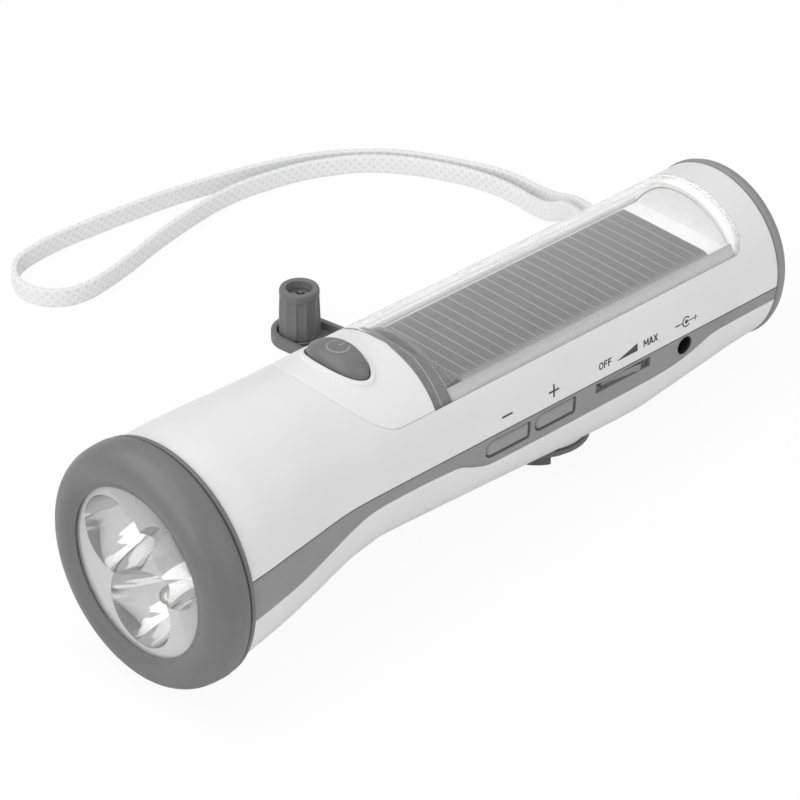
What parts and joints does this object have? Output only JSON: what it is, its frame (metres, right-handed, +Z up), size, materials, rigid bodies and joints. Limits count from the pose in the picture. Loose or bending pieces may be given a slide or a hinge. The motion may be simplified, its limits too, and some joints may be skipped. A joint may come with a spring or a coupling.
{
  "type": "hand crank flashlight",
  "caption": "Hand cranked flashlight with a flared head, a solar window on top, radio keys on one side, a speaker in the tail, a fold-out crank under the grip and a wrist strap.",
  "frame": {"origin": "middle of the flat tail face, with the flashlight lying on its head ring, its crank hub and its crank arm", "axes": "+Z up from the table; +X out of the tail, level, so that the body's own axis slopes 3.4 degrees below +X; +Y from the keys' side to the crank knob's side"},
  "size_m": [0.2153, 0.1873, 0.0632],
  "materials": {
    "white_shell": "satin moulded",
    "grey_rubber": "matte",
    "grey_trim": "fine texture",
    "dark_grey": "fine texture",
    "clear": "polished clear plastic",
    "mirror_coat": "mirror coated plastic",
    "cell_film": "smooth film with fine lines",
    "green_board": "matte",
    "cell_wrap": "shrink wrap",
    "black_part": "matte",
    "white_gear": "moulded",
    "steel": "satin",
    "brass": "satin",
    "braid": "flat woven braid"
  },
  "bodies": {
    "torch": {"head_bezel": "grey_rubber", "lens": "clear", "reflector": "mirror_coat", "led_board": "green_board", "led_1": "clear", "led_2": "clear", "led_3": "clear", "upper_shell": "white_shell", "lower_shell": "white_shell", "side_trim_near": "grey_trim", "side_trim_far": "grey_trim", "front_panel": "white_shell", "solar_window": "clear", "solar_cell": "cell_film", "cell_tray": "white_shell", "volume_pot": "black_part", "dc_jack": "black_part", "main_board": "green_board", "power_switch": "black_part", "scan_minus_switch": "black_part", "scan_plus_switch": "black_part", "battery_holder": "black_part", "battery_cell_1": "cell_wrap", "battery_cell_2": "cell_wrap", "battery_cell_3": "cell_wrap", "tail_cap": "grey_rubber", "speaker": "black_part", "gear_plate": "steel", "idler_axle": "steel", "generator": "steel", "strap_bar": "steel", "neck_screw_1": "steel", "neck_screw_2": "steel", "tail_screw_1": "steel", "tail_screw_2": "steel", "hub_bush": "brass", "wrist_strap": "braid"},
    "power_button": {"power_button": "grey_trim"},
    "scan_minus": {"scan_minus_key": "grey_trim"},
    "scan_plus": {"scan_plus_key": "grey_trim"},
    "volume": {"volume_slider": "grey_trim"},
    "crank": {"crank_hub": "dark_grey", "crank_gear": "white_gear", "hub_screw": "steel", "hinge_pin": "steel"},
    "arm": {"crank_arm": "dark_grey", "knob_washer": "steel", "knob_screw": "steel"},
    "knob": {"crank_knob": "dark_grey"},
    "idler": {"idler_gear": "white_gear"},
    "rotor": {"generator_pinion": "brass"}
  },
  "joints": [
    {"name": "crank_spin", "type": "hinge", "parent": "torch", "child": "crank", "pos_m": [-0.06783, 0, -0.0253], "axis": [0.0597, 0, 0.9982], "continuous": true},
    {"name": "arm_fold", "type": "hinge", "parent": "crank", "child": "arm", "pos_m": [-0.06788, 0, -0.0261], "axis": [-0.991, -0.1201, 0.0592], "range_deg": [0, 179]},
    {"name": "knob_spin", "type": "hinge", "parent": "arm", "child": "knob", "pos_m": [-0.07729, 0.07712, -0.02721], "axis": [0.0571, 0.0213, 0.9981], "continuous": true},
    {"name": "idler_spin", "type": "hinge", "parent": "torch", "child": "idler", "pos_m": [-0.0849, 0, -0.00925], "axis": [0.0597, 0, 0.9982], "continuous": true},
    {"name": "rotor_spin", "type": "hinge", "parent": "torch", "child": "rotor", "pos_m": [-0.10088, 0, -0.0083], "axis": [0.0597, 0, 0.9982], "continuous": true},
    {"name": "power_press", "type": "slide", "parent": "torch", "child": "power_button", "axis": [-0.0597, 0, -0.9982], "range_m": [0, 0.0008], "stiffness_N_per_m": 1500, "springref_m": -0.0006},
    {"name": "scan_minus_press", "type": "slide", "parent": "torch", "child": "scan_minus", "axis": [0, 1, 0], "range_m": [0, 0.0006], "stiffness_N_per_m": 1200, "springref_m": -0.0005},
    {"name": "scan_plus_press", "type": "slide", "parent": "torch", "child": "scan_plus", "axis": [0, 1, 0], "range_m": [0, 0.0006], "stiffness_N_per_m": 1200, "springref_m": -0.0005},
    {"name": "volume_slide", "type": "slide", "parent": "torch", "child": "volume", "axis": [0.9982, 0, -0.0597], "range_m": [-0.0027, 0.0027]}
  ],
  "couplings": [
    {"joint": "idler_spin", "follows": "crank_spin", "ratio": -3.5},
    {"joint": "rotor_spin", "follows": "crank_spin", "ratio": 10.5}
  ]
}
